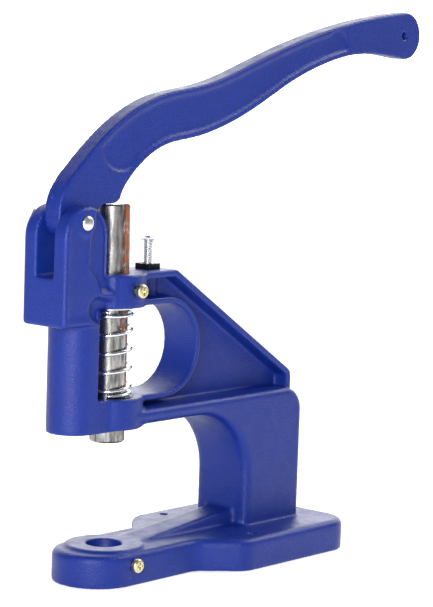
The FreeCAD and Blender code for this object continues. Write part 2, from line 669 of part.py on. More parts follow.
def coil_tube(radius, wire, rise, share, bottom, turned):
    """One stretch of a coil of at most a turn, closed at both ends, begun at a turned angle."""
    path = Part.makeHelix(rise, rise * share, radius)
    path.translate(Vector(0, 0, bottom))
    section = Part.Wire(Part.makeCircle(wire / 2, Vector(radius, 0, bottom), Vector(0, 1, 0)))
    tube = Part.Wire(path.Edges).makePipeShell([section], True, True)
    tube.rotate(Vector(0, 0, 0), Vector(0, 0, 1), turned)
    return tube.Solids[0] if tube.Solids else Part.Solid(tube)


def flat_ends(tube):
    """The two flat faces of a stretch of coil."""
    return sorted(tube.Faces, key=lambda face: face.Area)[:2]


def return_spring():
    """The right-handed return spring: open coils between one closed coil at each end."""
    radius = value(SPRING_RADIUS)
    wire = value("spring_wire")
    foot = value("spring_seat + washer_thickness") + wire / 2
    head = value("clip_bottom") - wire / 2
    closed = value("spring_wire + spring_closed_gap")
    coils = value("spring_coils")
    pitch = (head - foot - 2 * closed) / coils
    pieces = math.ceil(coils)
    turns = [(closed, 1.0)] + [(pitch, coils / pieces)] * pieces + [(closed, 1.0)]
    tubes = []
    height = foot
    turned = 0.0
    for rise, share in turns:
        tubes.append(coil_tube(radius, wire, rise, share, height, turned))
        height += rise * share
        turned += 360.0 * share
    walls = [max(tube.Faces, key=lambda face: face.Area) for tube in tubes]
    low_end = min(flat_ends(tubes[0]), key=lambda face: face.CenterOfMass.z)
    high_end = max(flat_ends(tubes[-1]), key=lambda face: face.CenterOfMass.z)
    shell = Part.makeShell(walls + [low_end, high_end])
    shell.sewShape()
    shape = Part.Solid(shell)
    if not shape.isValid() or shape.Volume <= 0:
        raise RuntimeError("the return spring isn't one sound solid")
    spring = doc.addObject("Part::Feature", "return_spring")
    spring.Label = "return_spring"
    spring.Shape = shape
    spring.Placement = FreeCAD.Placement()


# ---------------------------------------------------------------- screws, nuts and washers

def cross_recess(screw, top):
    """Cut a cross recess into a head whose top lies at an expression."""
    for name, wide, high in (("bar", "recess_span", "recess_width"),
                             ("post", "recess_width", "recess_span")):
        arm = screw.sketch(f"recess_{name}", "XY_Plane", f"{top} - recess_depth")
        rectangle(arm, f"-({wide}) / 2", f"({wide}) / 2", f"-({high}) / 2", f"({high}) / 2")
        screw.pocket(f"recess_{name}", arm, "recess_depth + 3", reverse=True)


def pan_screw(name, length):
    """A pan-head screw along Z, its head's underside at 0 and its shank below."""
    screw = Piece(name)
    head = screw.sketch("head", "XY_Plane")
    circle(head, "0", "0", "screw_head_radius")
    screw.pad("head", head, "screw_head_height")
    screw.dress("Fillet", "crown", "screw_head_height * 0.45", level("screw_head_height"))
    shank = screw.sketch("shank", "XY_Plane")
    circle(shank, "0", "0", "screw_diameter / 2")
    screw.pad("shank", shank, length, reverse=True)
    cross_recess(screw, "screw_head_height")
    return screw


def guide_screw():
    """The screw whose tip runs in the ram's keyway and keeps it from turning."""
    screw = pan_screw("guide_screw", "boss_radius + guide_screw_proud - ram_diameter / 2"
                                     " + key_depth - clamp_screw_gap")
    screw.place(y="-boss_radius - guide_screw_proud", z="guide_screw_z", axis=Vector(1, 0, 0),
                angle=90)


def die_clamp_screw():
    """The screw that holds a lower die in its seat, backed off just clear of it."""
    screw = pan_screw("die_clamp_screw", "neck_half_width - die_bore / 2")
    screw.place(y="-neck_half_width - clamp_screw_gap", z="clamp_screw_z", axis=Vector(1, 0, 0),
                angle=90)


def stop_screw():
    """The stop screw behind the ram: a thin flat head with a small nub on its top."""
    screw = Piece("stop_screw")
    shank = screw.sketch("shank", "XY_Plane")
    circle(shank, "0", "0", "stop_diameter / 2")
    screw.pad("shank", shank, "stop_length", reverse=True)
    head = screw.sketch("head", "XY_Plane")
    circle(head, "0", "0", "stop_head_radius")
    screw.pad("head", head, "1")
    nub = screw.sketch("nub", "XY_Plane", "1")
    circle(nub, "0", "0", "stop_diameter / 2 - 0.4")
    screw.pad("nub", nub, "1.3")
    screw.dress("Fillet", "nub_edge", "0.9", level("2.3"))
    screw.place(x="stop_x", z="stop_head_z")


def lock_nut():
    """The square nut that locks the stop screw on the bracket's top."""
    nut = Piece("stop_lock_nut")
    block = nut.sketch("block", "XY_Plane", "bracket_top")
    rectangle(block, "stop_x - lock_nut_width / 2", "stop_x + lock_nut_width / 2",
              "-lock_nut_width / 2", "lock_nut_width / 2")
    circle(block, "stop_x", "0", "stop_diameter / 2 + running_gap")
    nut.pad("block", block, "lock_nut_height")


def pivot_bolt():
    """The bolt that the lever turns on, its low round head on the near side."""
    bolt = Piece("pivot_bolt")
    head = bolt.sketch("head", "XY_Plane")
    circle(head, "0", "0", "pivot_head_radius")
    bolt.pad("head", head, "pivot_head_height")
    bolt.dress("Fillet", "crown", "pivot_head_height * 0.6", level("pivot_head_height"))
    shank = bolt.sketch("shank", "XY_Plane")
    circle(shank, "0", "0", "pivot_diameter / 2")
    bolt.pad("shank", shank, "2 * head_half_width + pivot_washer_thickness"
                             " + pivot_nut_height + bolt_overhang", reverse=True)
    bolt.place(x="-pivot_x", y="-head_half_width", z="pivot_z", axis=Vector(1, 0, 0), angle=90)


def pivot_washer():
    """The washer between the far ear and the pivot nut."""
    washer = Piece("pivot_washer")
    ring = washer.sketch("ring", "XZ_Plane", "-head_half_width")
    circle(ring, "-pivot_x", "pivot_z", "pivot_washer_radius")
    circle(ring, "-pivot_x", "pivot_z", "pivot_diameter / 2 + running_gap")
    washer.pad("ring", ring, "pivot_washer_thickness", reverse=True)


def pivot_nut():
    """The hexagon nut at the far end of the pivot bolt."""
    nut = Piece("pivot_nut")
    block = nut.sketch("block", "XZ_Plane", "-head_half_width - pivot_washer_thickness")
    corner = "pivot_nut_width / sqrt(3)"
    polygon(block, [(f"-pivot_x + {corner} * cos({angle})", f"pivot_z + {corner} * sin({angle})")
                    for angle in range(0, 360, 60)])
    circle(block, "-pivot_x", "pivot_z", "pivot_diameter / 2 + running_gap")
    nut.pad("block", block, "pivot_nut_height", reverse=True)


PIECES = (
    frame_casting, lever_arm, pivot_bolt, pivot_washer, pivot_nut, ram, ram_clip,
    return_spring, spring_washer, guide_screw, stop_screw, lock_nut, die_clamp_screw,
)


def main():
    """Build every sub-part, check each one and write its STEP file."""
    fill_sheet()
    for piece in PIECES:
        piece()
    doc.recompute()
    os.makedirs("parts", exist_ok=True)
    kinds = ("PartDesign::Body", "Part::Feature")
    bodies = [item for item in doc.Objects if item.TypeId in kinds]
    for item in doc.Objects:
        if "Invalid" in item.State or "Error" in item.State:
            raise RuntimeError(f"{item.Name} is in error")
    for body in bodies:
        shape = body.Shape
        if shape.isNull() or not shape.isValid():
            raise RuntimeError(f"{body.Label} has no sound shape")
        shape.exportStep(f"parts/{body.Label}.step")
        box = shape.BoundBox
        print(f"{body.Label}: {len(shape.Solids)} solid(s), {shape.Volume:.0f} mm3, "
              f"{box.XMin:.1f}..{box.XMax:.1f}, {box.YMin:.1f}..{box.YMax:.1f}, "
              f"{box.ZMin:.1f}..{box.ZMax:.1f}")


main()
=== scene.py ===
"""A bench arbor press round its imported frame: cast body, hand lever, sprung ram and screws."""

from __future__ import annotations

import logging
import math
from abc import ABC, abstractmethod
from dataclasses import dataclass, field
from enum import Enum
from typing import Callable

import bmesh
import bpy
import numpy as np
from mathutils import Matrix, Vector


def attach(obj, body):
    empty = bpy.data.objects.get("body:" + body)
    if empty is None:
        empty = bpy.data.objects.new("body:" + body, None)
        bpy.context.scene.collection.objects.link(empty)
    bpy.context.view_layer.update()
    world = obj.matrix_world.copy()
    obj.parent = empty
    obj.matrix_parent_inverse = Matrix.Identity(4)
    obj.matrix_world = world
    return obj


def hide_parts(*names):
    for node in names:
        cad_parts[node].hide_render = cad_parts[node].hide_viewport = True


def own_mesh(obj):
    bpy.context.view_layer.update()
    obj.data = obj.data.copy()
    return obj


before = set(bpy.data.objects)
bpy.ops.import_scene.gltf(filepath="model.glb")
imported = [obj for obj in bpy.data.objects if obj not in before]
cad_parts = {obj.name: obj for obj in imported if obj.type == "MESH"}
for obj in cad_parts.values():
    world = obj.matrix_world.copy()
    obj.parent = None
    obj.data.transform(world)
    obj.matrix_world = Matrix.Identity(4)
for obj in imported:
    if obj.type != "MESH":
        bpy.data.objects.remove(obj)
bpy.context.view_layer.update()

LOG = logging.getLogger("arbor_press")
MM = 0.001


class Body(str, Enum):
    """The bodies that pieces ride on."""

    FRAME = "frame"
    LEVER = "lever"
    RAM = "ram"
    STOP = "stop_screw"
    CLAMP = "die_clamp_screw"


# ---------------------------------------------------------------- shader graph


@dataclass(frozen=True)
class Value:
    """A number in a shader, so that maths on it reads as an expression.

    Args:
        graph: the graph that gets the maths nodes.
        socket: the output socket that carries the number.
    """

    graph: "Graph"
    socket: bpy.types.NodeSocket

    def _maths(self, operation: str, first: "Value | float", second: "Value | float") -> "Value":
        """Add one Math node and return its result."""
        node = self.graph.add("ShaderNodeMath", {"operation": operation}, {0: first, 1: second})
        return Value(self.graph, node.outputs[0])

    def __add__(self, other: "Value | float") -> "Value":
        """self + other."""
        return self._maths("ADD", self, other)

    def __radd__(self, other: float) -> "Value":
        """other + self."""
        return self._maths("ADD", other, self)

    def __sub__(self, other: "Value | float") -> "Value":
        """self - other."""
        return self._maths("SUBTRACT", self, other)

    def __rsub__(self, other: float) -> "Value":
        """other - self."""
        return self._maths("SUBTRACT", other, self)

    def __mul__(self, other: "Value | float") -> "Value":
        """self * other."""
        return self._maths("MULTIPLY", self, other)

    def __rmul__(self, other: float) -> "Value":
        """other * self."""
        return self._maths("MULTIPLY", other, self)

    def __abs__(self) -> "Value":
        """The value without its sign."""
        return self._maths("ABSOLUTE", self, 0.0)

    def ramp(self, low: float, high: float, to_low: float = 0.0, to_high: float = 1.0) -> "Value":
        """Map low..high smoothly to to_low..to_high, clamped at both ends."""
        node = self.graph.add(
            "ShaderNodeMapRange",
            {"interpolation_type": "SMOOTHSTEP"},
            {"Value": self, "From Min": low, "From Max": high, "To Min": to_low, "To Max": to_high},
        )
        return Value(self.graph, node.outputs["Result"])


class Graph:
    """One material's nodes: a Principled shader, object coordinates and whatever is added."""

    def __init__(self, name: str) -> None:
        """Start an empty material of that name."""
        self.material = bpy.data.materials.new(name)
        self.material.use_nodes = True
        self.tree = self.material.node_tree
        self.tree.nodes.clear()
        self.shader = self.add("ShaderNodeBsdfPrincipled", {}, {})
        output = self.add("ShaderNodeOutputMaterial", {}, {})
        self.tree.links.new(self.shader.outputs["BSDF"], output.inputs["Surface"])
        self.place = self.add("ShaderNodeTexCoord", {}, {}).outputs["Object"]

    def add(self, kind: str, settings: dict, inputs: dict) -> bpy.types.Node:
        """Add a node.

        Args:
            kind: the node's type.
            settings: its properties, set first.
            inputs: a value, a Value or an output socket for each input named.

        Returns:
            The node.
        """
        node = self.tree.nodes.new(kind)
        for name, setting in settings.items():
            setattr(node, name, setting)
        for name, entry in inputs.items():
            if isinstance(entry, Value):
                entry = entry.socket
            if isinstance(entry, bpy.types.NodeSocket):
                self.tree.links.new(entry, node.inputs[name])
            else:
                node.inputs[name].default_value = entry
        return node

    def stretched(self, scale: tuple[float, float, float]) -> bpy.types.NodeSocket:
        """Object coordinates scaled along each axis."""
        node = self.add("ShaderNodeMapping", {}, {"Vector": self.place, "Scale": scale})
        return node.outputs["Vector"]

    def noise(self, scale: float, detail: float = 2.0,
              place: bpy.types.NodeSocket | None = None) -> Value:
        """Noise from 0 to 1, with its scale in waves per metre."""
        node = self.add(
            "ShaderNodeTexNoise", {},
            {"Vector": place or self.place, "Scale": scale, "Detail": detail},
        )
        return Value(self, node.outputs[0])

    def axis(self, letter: str) -> Value:
        """One object coordinate, in metres."""
        node = self.add("ShaderNodeSeparateXYZ", {}, {"Vector": self.place})
        return Value(self, node.outputs[letter])

    def blend(self, mask: Value, first: object, second: object) -> bpy.types.NodeSocket:
        """The first colour where the mask is 0 and the second where it is 1."""
        node = self.add("ShaderNodeMix", {"data_type": "RGBA"}, {0: mask, 6: first, 7: second})
        return node.outputs[2]

    def set(self, **inputs: object) -> None:
        """Set or link the shader's inputs, with underscores for spaces."""
        for name, entry in inputs.items():
            socket = self.shader.inputs[name.replace("_", " ")]
            if isinstance(entry, Value):
                entry = entry.socket
            if isinstance(entry, bpy.types.NodeSocket):
                self.tree.links.new(entry, socket)
            else:
                socket.default_value = entry

    def bump(self, height: Value, strength: float, depth: float) -> None:
        """Raise the surface by a height field, depth metres at most."""
        node = self.add("ShaderNodeBump", {},
                        {"Height": height, "Strength": strength, "Distance": depth})
        self.set(Normal=node.outputs["Normal"])


# ---------------------------------------------------------------- finishes


MADE: dict[str, bpy.types.Material] = {}


@dataclass(frozen=True)
class Finish(ABC):
    """A finish: it makes one material."""

    name: str

    @abstractmethod
    def paint(self, graph: Graph) -> None:
        """Fill the graph with this finish."""

    def material(self) -> bpy.types.Material:
        """The finish's material, made once."""
        if self.name not in MADE:
            graph = Graph(f"finish_{self.name}")
            self.paint(graph)
            MADE[self.name] = graph.material
        return MADE[self.name]


@dataclass(frozen=True)
class PowderCoat(Finish):
    """Satin powder coat: fine orange peel, cloudy colour and a few small pale nicks."""

    deep: tuple[float, float, float, float] = (0.0025, 0.0145, 0.148, 1)
    light: tuple[float, float, float, float] = (0.0050, 0.0220, 0.208, 1)
    nick: tuple[float, float, float, float] = (0.09, 0.10, 0.34, 1)
    cloud_scale: float = 55.0
    speck_scale: float = 2400.0
    nick_scale: float = 330.0
    peel_scale: float = 900.0
    peel_depth: float = 0.45 * MM

    def paint(self, graph: Graph) -> None:
        """Cloud the colour, scatter the nicks and raise the peel."""
        cloud = graph.noise(self.cloud_scale, 3.0)
        speck = graph.noise(self.speck_scale, 1.0)
        nicks = graph.noise(self.nick_scale, 0.0).ramp(0.885, 0.90)
        colour = graph.blend(cloud * 0.7 + speck * 0.3, self.deep, self.light)
        graph.set(Base_Color=graph.blend(nicks * 0.6, colour, self.nick))
        graph.set(Roughness=graph.noise(140.0).ramp(0.3, 0.7, 0.34, 0.43))
        graph.set(Specular_IOR_Level=0.27)
        peel = graph.noise(self.peel_scale, 2.0) * 0.7 + graph.noise(2600.0, 1.0) * 0.3
        graph.bump(peel, 0.9, self.peel_depth)


@dataclass(frozen=True)
class Plated(Finish):
    """Plated or bare steel with fine streaks, clouding and dull patches."""

    base: tuple[float, float, float, float]
    shade: tuple[float, float, float, float]
    smooth: float
    rough: float
    streak: tuple[float, float, float] = (1.0, 1.0, 1.0)
    depth: float = 0.00003

    def paint(self, graph: Graph) -> None:
        """Streak and cloud the metal."""
        streaks = graph.noise(900.0, 3.0, graph.stretched(self.streak))
        cloud = graph.noise(160.0, 3.0)
        mask = (streaks * 0.6 + cloud * 0.4).ramp(0.35, 0.68)
        graph.set(Base_Color=graph.blend(mask, self.base, self.shade), Metallic=1.0)
        graph.set(Roughness=mask * (self.rough - self.smooth) + self.smooth)
        graph.bump(streaks, 0.4, self.depth)


@dataclass(frozen=True)
class RamSteel(Plated):
    """Drawn steel bar, worn where it slides, with a painted brown reflection along one wall of its
    keyway.
    """

    # painted reflection: the brown colour that the keyway's rear wall shows by reflection
    painted_reflection: tuple[float, float, float, float] = (0.30, 0.095, 0.035, 1)
    keyway_edge: float = 3.5 * MM
    keyway_front: float = -6.6 * MM

    def paint(self, graph: Graph) -> None:
        """Lay a painted brown reflection along the keyway's rear wall over the streaked steel."""
        streaks = graph.noise(700.0, 4.0, graph.stretched(self.streak))
        pits = graph.noise(1900.0, 2.0)
        mask = (streaks * 0.65 + graph.noise(120.0, 3.0) * 0.35).ramp(0.36, 0.66)
        steel = graph.blend(mask, self.base, self.shade)
        # painted reflection: a brown stripe held to the keyway's rear wall and broken up by noise
        near_edge = abs(graph.axis("X") - self.keyway_edge).ramp(0.45 * MM, 1.1 * MM, 1.0, 0.0)
        in_front = graph.axis("Y").ramp(self.keyway_front - 0.6 * MM, self.keyway_front, 1.0, 0.0)
        patchy = graph.noise(260.0, 4.0).ramp(0.36, 0.56)
        reflection_mask = near_edge * in_front * patchy
        graph.set(Base_Color=graph.blend(reflection_mask, steel, self.painted_reflection))
        graph.set(Metallic=1.0 - reflection_mask * 0.8)
        graph.set(Roughness=mask * (self.rough - self.smooth) + self.smooth + reflection_mask * 0.3)
        graph.bump(streaks * 0.5 + pits * 0.5, 0.5, self.depth)


PAINT = PowderCoat("blue_powder_coat")
BRIGHT = Plated("bright_zinc", (0.78, 0.80, 0.83, 1), (0.55, 0.57, 0.60, 1), 0.20, 0.38)
YELLOW = Plated("yellow_zinc", (0.72, 0.66, 0.40, 1), (0.50, 0.46, 0.30, 1), 0.22, 0.40)
# black oxide on the lock nut; on the spring washer this black is painted shade
BLACK_OXIDE_AND_SHADE = Plated("black_oxide", (0.035, 0.035, 0.04, 1), (0.018, 0.018, 0.02, 1), 0.34, 0.52)
WIRE = Plated("spring_wire", (0.80, 0.81, 0.83, 1), (0.62, 0.63, 0.66, 1), 0.12, 0.26)
STEEL = RamSteel("ram_steel", (0.36, 0.355, 0.35, 1), (0.10, 0.095, 0.09, 1), 0.20, 0.38,
                 (1.0, 1.0, 0.12), 0.00008)


# ---------------------------------------------------------------- mesh helpers


def finished(name: str, mesh: bpy.types.Mesh, finish: Finish, body: Body,
             nodes: tuple[str, ...] = (), smooth: bool = True) -> bpy.types.Object:
    """Link a mesh as a piece.

    Args:
        name: the piece's name.
        mesh: its mesh, in the frame's place.
        finish: its finish.
        body: the body that carries it.
        nodes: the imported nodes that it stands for.
        smooth: shade it smooth.

    Returns:
        The piece.
    """
    mesh.materials.clear()
    mesh.materials.append(finish.material())
    mesh.polygons.foreach_set("use_smooth", [smooth] * len(mesh.polygons))
    piece = bpy.data.objects.new(name, mesh)
    bpy.context.scene.collection.objects.link(piece)
    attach(piece, body.value)
    if nodes:
        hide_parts(*nodes)
    LOG.info("%s: %d faces", name, len(mesh.polygons))
    return piece


def to_mesh(bm: bmesh.types.BMesh, name: str) -> bpy.types.Mesh:
    """Merge doubles, point the faces outwards and write the bmesh to a new mesh."""
    bmesh.ops.remove_doubles(bm, verts=bm.verts, dist=0.002 * MM)
    bmesh.ops.recalc_face_normals(bm, faces=bm.faces)
    mesh = bpy.data.meshes.new(name)
    bm.to_mesh(mesh)
    bm.free()
    return mesh


def modified(mesh: bpy.types.Mesh, adds: Callable[[bpy.types.Object], None]) -> bpy.types.Mesh:
    """Run modifiers on a mesh and keep what they make."""
    holder = bpy.data.objects.new("holder", mesh)
    bpy.context.scene.collection.objects.link(holder)
    adds(holder)
    depsgraph = bpy.context.evaluated_depsgraph_get()
    result = bpy.data.meshes.new_from_object(holder.evaluated_get(depsgraph))
    bpy.data.objects.remove(holder)
    return result


def merged_copy(node: str) -> bpy.types.Mesh:
    """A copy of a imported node's mesh with its loose triangles joined."""
    bm = bmesh.new()
    bm.from_mesh(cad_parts[node].data)
    bmesh.ops.remove_doubles(bm, verts=bm.verts, dist=0.002 * MM)
    mesh = bpy.data.meshes.new(f"{node}_copy")
    bm.to_mesh(mesh)
    bm.free()
    return mesh


def remeshed(mesh: bpy.types.Mesh, voxel: float) -> bpy.types.Mesh:
    """Even quads over a closed mesh."""

    def adds(holder: bpy.types.Object) -> None:
        """Add the voxel remesh."""
        remesh = holder.modifiers.new("grid", "REMESH")
        remesh.mode = "VOXEL"
        remesh.voxel_size = voxel

    return modified(mesh, adds)


@dataclass(frozen=True)
class Region:
    """A box in millimetres, low and high corner, and how many more rounds of rounding it gets."""

    low: tuple[float, float, float]
    high: tuple[float, float, float]
    rounds: int

    def holds(self, co: Vector) -> bool:
        """Whether a point in metres lies in the box; both sides of Y = 0 count."""
        point = (co.x / MM, abs(co.y) / MM, co.z / MM)
        return all(a <= v <= b for a, v, b in zip(self.low, point, self.high))


def softened(mesh: bpy.types.Mesh, rounds: int, regions: tuple[Region, ...] = ()) -> None:
    """Round a mesh's edges as sand casting and thick paint do, some regions more than others."""
    bm = bmesh.new()
    bm.from_mesh(mesh)
    for region in regions:
        chosen = [vert for vert in bm.verts if region.holds(vert.co)]
        for _ in range(region.rounds):
            bmesh.ops.smooth_vert(bm, verts=chosen, factor=0.5, use_axis_x=True, use_axis_y=True,
                                  use_axis_z=True)
    for _ in range(rounds):
        bmesh.ops.smooth_vert(bm, verts=bm.verts, factor=0.5, use_axis_x=True, use_axis_y=True,
                              use_axis_z=True)
    bm.to_mesh(mesh)
    bm.free()


def thinned(mesh: bpy.types.Mesh, triangles: int) -> bpy.types.Mesh:
    """Thin a mesh to about that many triangles, keeping its curves."""
    ratio = min(1.0, triangles / (2 * len(mesh.polygons)))

    def adds(holder: bpy.types.Object) -> None:
        """Add the thinning."""
        thin = holder.modifiers.new("thin", "DECIMATE")
        thin.ratio = ratio

    return modified(mesh, adds)


@dataclass(frozen=True)
class Bore:
    """A round cut: a point on its axis, its direction, radius and half length, in millimetres."""

    at: tuple[float, float, float]
    along: str
    radius: float
    half: float

    def cutter(self, bm: bmesh.types.BMesh) -> None:
        """Add the cut's cylinder to a bmesh."""
        turn = {"X": Matrix.Rotation(math.pi / 2, 4, "Y"), "Y": Matrix.Rotation(math.pi / 2, 4, "X"),
                "Z": Matrix.Identity(4)}[self.along]
        bmesh.ops.create_cone(
            bm, cap_ends=True, segments=72, radius1=self.radius * MM, radius2=self.radius * MM,
            depth=2 * self.half * MM, matrix=Matrix.Translation(Vector(self.at) * MM) @ turn,
        )


def bored(mesh: bpy.types.Mesh, bores: tuple[Bore, ...]) -> bpy.types.Mesh:
    """Cut round bores through a mesh, one after another."""
    for bore in bores:
        bm = bmesh.new()
        bore.cutter(bm)
        tool = bpy.data.objects.new("tool", to_mesh(bm, "tool"))
        bpy.context.scene.collection.objects.link(tool)

        def adds(holder: bpy.types.Object) -> None:
            """Add the cut."""
            cut = holder.modifiers.new("cut", "BOOLEAN")
            cut.operation = "DIFFERENCE"
            cut.solver = "EXACT"
            cut.object = tool

        mesh = modified(mesh, adds)
        bpy.data.objects.remove(tool)
    return mesh


def step(t: np.ndarray) -> np.ndarray:
    """Smooth step from 0 to 1."""
    t = np.clip(t, 0, 1)
    return t * t * (3 - 2 * t)


# ---------------------------------------------------------------- cast body


@dataclass
class CastBody:
    """The painted casting: foot, column, arm, bracket and head, with the head's dished sides."""

    voxel: float = 0.8 * MM
    rounds: int = 5
    triangles: int = 150000
    side: float = 16.5
    boss: tuple[float, float] = (-37.0, 204.8)
    boss_radius: float = 6.4
    dish_depth: float = 3.4
    pan_depth: float = 0.7
    scoop_depth: float = 4.6
    regions: tuple[Region, ...] = (
        Region((16.0, 0.0, 17.5), (112.0, 18.0, 46.0), 26),
        Region((-15.0, 0.0, 26.0), (15.0, 15.0, 32.0), 6),
    )
    ridge: tuple[tuple[float, float], ...] = (
        (165.0, -25.8), (168.9, -26.0), (172.4, -28.6), (179.3, -35.2), (199.5, -34.0), (212.0, -30.0))
    bores: tuple[Bore, ...] = field(default=(
        Bore((0, 0, 20.3), "Z", 10.25, 15.0),
        Bore((0, 0, 0), "Z", 5.0, 8.0),
        Bore((0, 0, 131), "Z", 10.08, 52.0),
        Bore((89.5, 35, 10), "Z", 2.25, 12.0),
        Bore((89.5, -35, 10), "Z", 2.25, 12.0),
        Bore((-37, 0, 204.8), "Y", 3.05, 30.0),
        Bore((0, -15, 166), "Y", 2.55, 12.0),
        Bore((0, -20, 11.5), "Y", 2.55, 9.0),
        Bore((30, 0, 170), "Z", 3.05, 8.0),
    ))

    def hollow(self, mesh: bpy.types.Mesh) -> None:
        """Press the dish, the pan and the scoop into both sides of the head."""
        count = len(mesh.vertices)
        co = np.empty(count * 3)
        mesh.vertices.foreach_get("co", co)
        co = co.reshape(-1, 3)
        x, y, z = (co / MM).T
        ridge_z, ridge_x = np.array(self.ridge).T
        line = np.interp(z, ridge_z, ridge_x)
        away = np.hypot(x - self.boss[0], z - self.boss[1])
        off_boss = step((away - self.boss_radius) / 2.5)
        dish = step((x - line) / 3.6) * step((z - 164.5) / 4.0) * off_boss * self.dish_depth
        inside = step((x + 51.5) / 3.0) * step((z - 150.0) / 4.0) * step((line + 0.5 - x) / 3.0)
        pan = inside * step((211 - z) / 5.0) * off_boss * self.pan_depth
        top = np.interp(x, (-35.8, -31.4, -25.8, -15.9), (155.8, 161.8, 163.8, 161.6))
        low = np.interp(x, (-35.8, -32.6, -25.1, -20.0), (155.8, 152.8, 148.4, 148.0))
        scoop = step((x + 37.0) / 10.0) * step((top + 1.0 - z) / 3.0) * step((z - low + 1.0) / 3.5)
        scoop = scoop * self.scoop_depth
        near = (np.abs(y) > self.side - 1.2) & (x < -14.0) & (z > 147.0)
        depth = np.where(near, np.maximum(np.maximum(dish, pan), scoop), 0.0)
        co[:, 1] -= np.sign(y) * depth * MM
        mesh.vertices.foreach_set("co", co.ravel())

    def build(self) -> bpy.types.Object:
        """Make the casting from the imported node, softened, dished and bored."""
        mesh = remeshed(merged_copy("frame_casting"), self.voxel)
        self.hollow(mesh)
        softened(mesh, self.rounds, self.regions)
        mesh = bored(thinned(mesh, self.triangles), self.bores)
        return finished("cast_body", mesh, PAINT, Body.FRAME, ("frame_casting",))


# ---------------------------------------------------------------- lever


@dataclass
class HandLever:
    """The painted lever with softened edges and its hang hole."""

    voxel: float = 0.85 * MM
    rounds: int = 6
    bores: tuple[Bore, ...] = (
        Bore((-37, 0, 204.8), "Y", 3.05, 12.0),
        Bore((259.3, 0, 310.3), "Y", 2.5, 12.0),
    )

    def build(self) -> bpy.types.Object:
        """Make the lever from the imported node."""
        mesh = remeshed(merged_copy("lever_arm"), self.voxel)
        softened(mesh, self.rounds)
        mesh = bored(mesh, self.bores)
        return finished("hand_lever", mesh, PAINT, Body.LEVER, ("lever_arm",))


# ---------------------------------------------------------------- ram and spring


@dataclass
class ReturnSpring:
    """The right-handed return spring."""

    foot: float = 104.8
    head: float = 154.5
    wire: float = 2.2
    radius: float = 12.2
    closed_rise: float = 2.5
    coils: int = 4
    stroke: float = 22.7
    turn_steps: int = 64
    start: float = math.radians(220.0)

    def build(self) -> bpy.types.Object:
        """Spin the wire's ring up the coil, a closed turn at each end."""
        low, high = self.foot + self.wire / 2, self.head - self.wire / 2
        pitch = (high - low - 2 * self.closed_rise) / self.coils
        bm = bmesh.new()
        place = (Matrix.Rotation(self.start, 4, "Z")
                 @ Matrix.Translation((self.radius * MM, 0, low * MM))
                 @ Matrix.Rotation(math.pi / 2, 4, "X"))
        bmesh.ops.create_circle(bm, cap_ends=True, radius=self.wire / 2 * MM, segments=18, matrix=place)
        ring: list = list(bm.verts) + list(bm.edges)
        bmesh.ops.delete(bm, geom=list(bm.faces), context="FACES_ONLY")
        for rise, turns in ((self.closed_rise, 1), (pitch, self.coils), (self.closed_rise, 1)):
            steps = self.turn_steps * turns
            spun = bmesh.ops.spin(
                bm, geom=ring, cent=(0, 0, 0), axis=(0, 0, 1), dvec=(0, 0, rise * MM / self.turn_steps),
                angle=2 * math.pi * turns, steps=steps, use_merge=False, use_duplicate=False,
            )
            ring = [g for g in spun["geom_last"] if not isinstance(g, bmesh.types.BMFace)]
        bmesh.ops.holes_fill(bm, edges=[e for e in bm.edges if e.is_boundary], sides=0)
        piece = finished("coil_spring", to_mesh(bm, "coil_spring"), WIRE, Body.FRAME,
                         ("return_spring",))
        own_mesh(piece)
        return piece


# ---------------------------------------------------------------- screws


def spun(profile: tuple[tuple[float, float], ...], name: str, steps: int = 64) -> bpy.types.Mesh:
    """Spin a profile of radius and height, in millimetres, about the Z axis."""
    bm = bmesh.new()
    points = [bm.verts.new((r * MM, 0, h * MM)) for r, h in profile]
    edges = [bm.edges.new(pair) for pair in zip(points, points[1:])]
    bmesh.ops.spin(bm, geom=points + edges, cent=(0, 0, 0), axis=(0, 0, 1), angle=2 * math.pi,
                   steps=steps, use_merge=True, use_duplicate=False)
    return to_mesh(bm, name)


def threaded(crest: float, root: float, pitch: float, low: float, high: float, name: str,
             turn_steps: int = 40) -> bpy.types.Mesh:
    """Spin one tooth up a shank along Z and square off both ends.

    Args:
        crest: the thread's outside radius, in millimetres as all its sizes are.
        root: the radius between its turns.
        pitch: the rise of one turn.
        low: height of the lower end.
        high: height of the upper end.
        name: the mesh's name.
        turn_steps: steps in one turn.

    Returns:
        The closed mesh.
    """
    turns = int((high - low) / pitch) + 4
    bm = bmesh.new()
    tooth = [bm.verts.new((radius * MM, 0, (low - 2 * pitch + rise * pitch) * MM))
             for radius, rise in ((root, 0.0), (root, 0.1), (crest, 0.5), (crest, 0.6), (root, 1.0))]
    edges = [bm.edges.new(pair) for pair in zip(tooth, tooth[1:])]
    bmesh.ops.spin(
        bm, geom=tooth + edges, cent=(0, 0, 0), axis=(0, 0, 1),
        dvec=(0, 0, pitch * MM / turn_steps), angle=2 * math.pi * turns,
        steps=turn_steps * turns, use_merge=False, use_duplicate=False,
    )
    bmesh.ops.remove_doubles(bm, verts=bm.verts, dist=0.005 * MM)
    for height, below in ((low, True), (high, False)):
        geom = list(bm.verts) + list(bm.edges) + list(bm.faces)
        bmesh.ops.bisect_plane(bm, geom=geom, plane_co=(0, 0, height * MM), plane_no=(0, 0, 1),
                               clear_inner=below, clear_outer=not below)
        bmesh.ops.holes_fill(bm, edges=[e for e in bm.edges if e.is_boundary], sides=0)
    return to_mesh(bm, name)


def moved(mesh: bpy.types.Mesh, at: tuple[float, float, float], turn: float = 0.0) -> bpy.types.Mesh:
    """Turn a mesh about the X axis and set it at a point in millimetres."""
    mesh.transform(Matrix.Translation(Vector(at) * MM) @ Matrix.Rotation(turn, 4, "X"))
    return mesh


